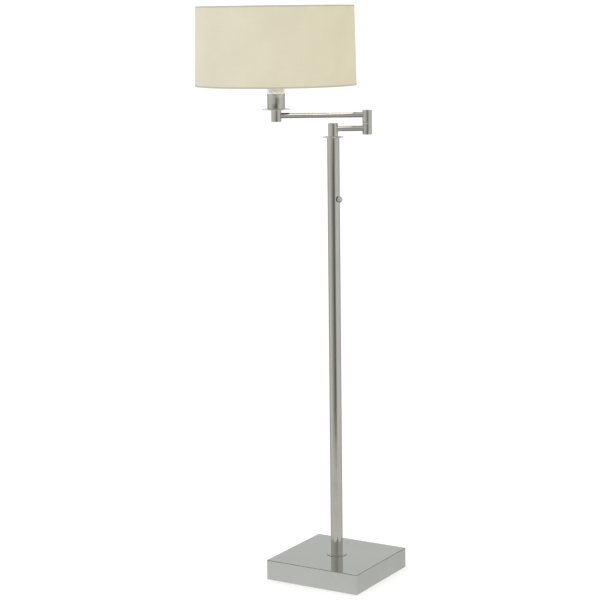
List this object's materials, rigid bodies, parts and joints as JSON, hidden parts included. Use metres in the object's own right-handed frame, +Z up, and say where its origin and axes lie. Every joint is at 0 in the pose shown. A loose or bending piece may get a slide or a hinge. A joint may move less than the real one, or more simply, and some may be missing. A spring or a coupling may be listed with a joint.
{
  "type": "adjustable arm floor lamp",
  "caption": "Floor lamp with a square weighted base, an upright pole with a dimmer knob, a folding swing arm and a shallow drum shade.",
  "frame": {"origin": "centre of the underside of the base, on the floor", "axes": "+Z up; X and Y along the sides of the square base; the cord leaves the +Y side; the arms lie 30.9 degrees from +X towards +Y, with the shade on the -X side"},
  "size_m": [0.4195, 0.3766, 1.346],
  "materials": {
    "polished_nickel": "polished nickel plate",
    "cast_iron": "rough casting, grey primer",
    "zinc_steel": "zinc plated steel",
    "felt": "black needle felt",
    "black_nylon": "black moulded nylon",
    "natural_nylon": "natural moulded nylon",
    "pale_phenolic": "pale moulded phenolic",
    "brass": "bare brass",
    "lead_jacket": "flexible jacket",
    "bulb_glass": "frosted glass",
    "shade_fabric": "plain woven off-white fabric",
    "shade_tape": "folded fabric tape",
    "shade_liner": "translucent white styrene",
    "white_wire": "white enamelled steel wire"
  },
  "bodies": {
    "stand": {"base_cover": "polished_nickel", "base_weight": "cast_iron", "base_plate": "zinc_steel", "felt_pad": "felt", "base_plate_screws": "zinc_steel", "cord_bushing": "black_nylon", "foot_disc": "polished_nickel", "base_nipple": "zinc_steel", "base_washer": "zinc_steel", "base_nut": "zinc_steel", "pole_tube": "polished_nickel", "pole_foot_plug": "zinc_steel", "pole_top_plug": "zinc_steel", "pole_top_disc": "polished_nickel", "pole_swivel_washer": "natural_nylon", "pole_stop_pin": "zinc_steel", "pole_pivot": "zinc_steel", "pole_spring_washer": "zinc_steel", "pole_lock_nut": "zinc_steel", "dimmer_body": "black_nylon", "dimmer_nut": "polished_nickel", "supply_lead": "lead_jacket", "dimmer_lead": "lead_jacket"},
    "dimmer": {"dimmer_shaft": "zinc_steel", "dimmer_knob": "polished_nickel"},
    "lower_arm": {"pole_hub": "polished_nickel", "pole_hub_cap": "polished_nickel", "lower_arm_tube": "polished_nickel", "elbow_lower_hub": "polished_nickel", "elbow_lower_cap": "polished_nickel", "elbow_swivel_washer": "natural_nylon", "elbow_stop_pin": "zinc_steel", "elbow_pivot": "zinc_steel", "elbow_spring_washer": "zinc_steel", "elbow_lock_nut": "zinc_steel", "lower_arm_lead": "lead_jacket"},
    "upper_arm": {"elbow_upper_hub": "polished_nickel", "elbow_upper_cap": "polished_nickel", "upper_arm_tube": "polished_nickel", "socket_hub": "polished_nickel", "socket_hub_cap": "polished_nickel", "upper_arm_lead": "lead_jacket", "socket_nipple": "zinc_steel", "socket_disc": "polished_nickel", "socket_cup": "polished_nickel", "socket_lock_nut": "zinc_steel", "socket_body": "pale_phenolic", "socket_collar": "pale_phenolic", "screw_shell": "brass", "centre_contact": "brass", "bulb_cap": "zinc_steel", "bulb_glass": "bulb_glass", "shade_clamp_ring": "pale_phenolic", "shade_fitter": "white_wire", "shade_top_ring": "white_wire", "shade_fabric": "shade_fabric", "shade_liner": "shade_liner", "shade_top_tape": "shade_tape", "shade_bottom_tape": "shade_tape"}
  },
  "joints": [
    {"name": "pole_swivel", "type": "hinge", "parent": "stand", "child": "lower_arm", "pos_m": [0, 0, 1.06], "axis": [0, 0, 1], "range_deg": [-164, 164]},
    {"name": "elbow_swivel", "type": "hinge", "parent": "lower_arm", "child": "upper_arm", "pos_m": [0.06736, 0.04031, 1.078], "axis": [0, 0, 1], "range_deg": [-14, 314]},
    {"name": "dimmer_turn", "type": "hinge", "parent": "stand", "child": "dimmer", "pos_m": [0, 0, 0.9018], "axis": [0.9799, -0.1994, 0], "range_deg": [-300, 0]}
  ]
}
